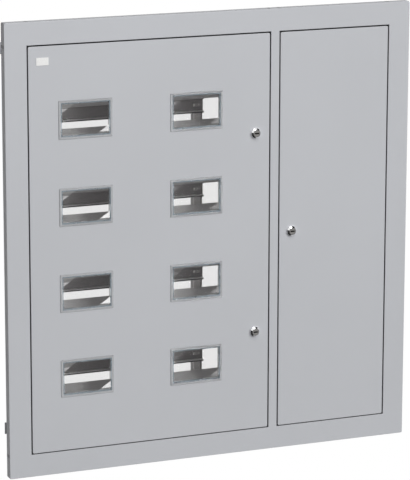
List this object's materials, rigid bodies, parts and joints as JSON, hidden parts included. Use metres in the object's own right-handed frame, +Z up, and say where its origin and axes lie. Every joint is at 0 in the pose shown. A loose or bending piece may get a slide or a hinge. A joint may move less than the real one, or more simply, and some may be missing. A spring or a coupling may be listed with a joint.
{
  "type": "flush-mounted metal electrical distribution cabinet",
  "caption": "Flush-mounted sheet-steel floor distribution cabinet with a windowed metering door, a plain narrow door, cam locks, mounting rails and slotted covers in an open-backed carcass.",
  "frame": {"origin": "centre of the four wall fixing holes, on the rear plane of the lugs", "axes": "+Z up, -Y out of the front, +Y into the wall, +X to the right as seen from the front"},
  "size_m": [0.95, 0.148, 1],
  "materials": {
    "grey_powder_coat": "light grey fine-textured powder coat",
    "grey_carcass_coat": "light grey powder coat on the carcass",
    "grey_inner_coat": "light grey powder coat on posts, covers and supports",
    "clear_plastic": "clear moulded polycarbonate",
    "white_badge": "blank white plate",
    "polished_chrome": "polished chrome",
    "satin_nickel": "satin nickel",
    "zinc_plated_hardware": "bright zinc plating",
    "blackened_steel": "blackened steel hinge pins",
    "zinc_plated_rail": "zinc-plated steel strip"
  },
  "bodies": {
    "cabinet": {"bottom_wall": "grey_carcass_coat", "cover_screws": "zinc_plated_hardware", "cover_support_left": "grey_inner_coat", "cover_support_right": "grey_inner_coat", "earth_stud_carcass": "zinc_plated_hardware", "equipment_plate": "grey_inner_coat", "front_frame": "grey_powder_coat", "hinge_pin_left_lower": "blackened_steel", "hinge_pin_left_upper": "blackened_steel", "hinge_pin_right_lower": "blackened_steel", "hinge_pin_right_upper": "blackened_steel", "lug_left_lower": "grey_carcass_coat", "lug_left_upper": "grey_carcass_coat", "lug_right_lower": "grey_carcass_coat", "lug_right_upper": "grey_carcass_coat", "mounting_rail_1": "zinc_plated_rail", "mounting_rail_2": "zinc_plated_rail", "mounting_rail_3": "zinc_plated_rail", "mounting_rail_4": "zinc_plated_rail", "partition": "grey_carcass_coat", "rail_post_left": "grey_inner_coat", "rail_post_right": "grey_inner_coat", "rail_screws": "zinc_plated_hardware", "side_wall_left": "grey_carcass_coat", "side_wall_right": "grey_carcass_coat", "slotted_cover_1": "grey_inner_coat", "slotted_cover_2": "grey_inner_coat", "slotted_cover_3": "grey_inner_coat", "slotted_cover_4": "grey_inner_coat", "top_wall": "grey_carcass_coat"},
    "left_door": {"left_door": "grey_powder_coat", "badge_plate": "white_badge", "earth_stud_left_door": "zinc_plated_hardware", "window_left_1": "clear_plastic", "window_left_2": "clear_plastic", "window_left_3": "clear_plastic", "window_left_4": "clear_plastic", "window_right_1": "clear_plastic", "window_right_2": "clear_plastic", "window_right_3": "clear_plastic", "window_right_4": "clear_plastic", "lock_upper_housing": "polished_chrome", "lock_upper_nut": "zinc_plated_hardware", "lock_lower_housing": "polished_chrome", "lock_lower_nut": "zinc_plated_hardware"},
    "right_door": {"right_door": "grey_powder_coat", "earth_stud_right_door": "zinc_plated_hardware", "lock_right_housing": "polished_chrome", "lock_right_nut": "zinc_plated_hardware"},
    "lock_upper": {"lock_upper_plug": "satin_nickel", "lock_upper_cam": "zinc_plated_hardware", "lock_upper_cam_screw": "zinc_plated_hardware"},
    "lock_lower": {"lock_lower_plug": "satin_nickel", "lock_lower_cam": "zinc_plated_hardware", "lock_lower_cam_screw": "zinc_plated_hardware"},
    "lock_right": {"lock_right_plug": "satin_nickel", "lock_right_cam": "zinc_plated_hardware", "lock_right_cam_screw": "zinc_plated_hardware"}
  },
  "joints": [
    {"name": "left_door_hinge", "type": "hinge", "parent": "cabinet", "child": "left_door", "pos_m": [-0.4142, -0.134, 0], "axis": [0, 0, -1], "range_deg": [0, 110]},
    {"name": "right_door_hinge", "type": "hinge", "parent": "cabinet", "child": "right_door", "pos_m": [0.4142, -0.134, 0], "axis": [0, 0, 1], "range_deg": [0, 110]},
    {"name": "lock_upper_turn", "type": "hinge", "parent": "left_door", "child": "lock_upper", "pos_m": [0.1025, -0.14, 0.227], "axis": [0, -1, 0], "range_deg": [0, 90]},
    {"name": "lock_lower_turn", "type": "hinge", "parent": "left_door", "child": "lock_lower", "pos_m": [0.1025, -0.14, -0.223], "axis": [0, -1, 0], "range_deg": [-7, 83]},
    {"name": "lock_right_turn", "type": "hinge", "parent": "right_door", "child": "lock_right", "pos_m": [0.1905, -0.14, 0], "axis": [0, 1, 0], "range_deg": [0, 90]}
  ]
}
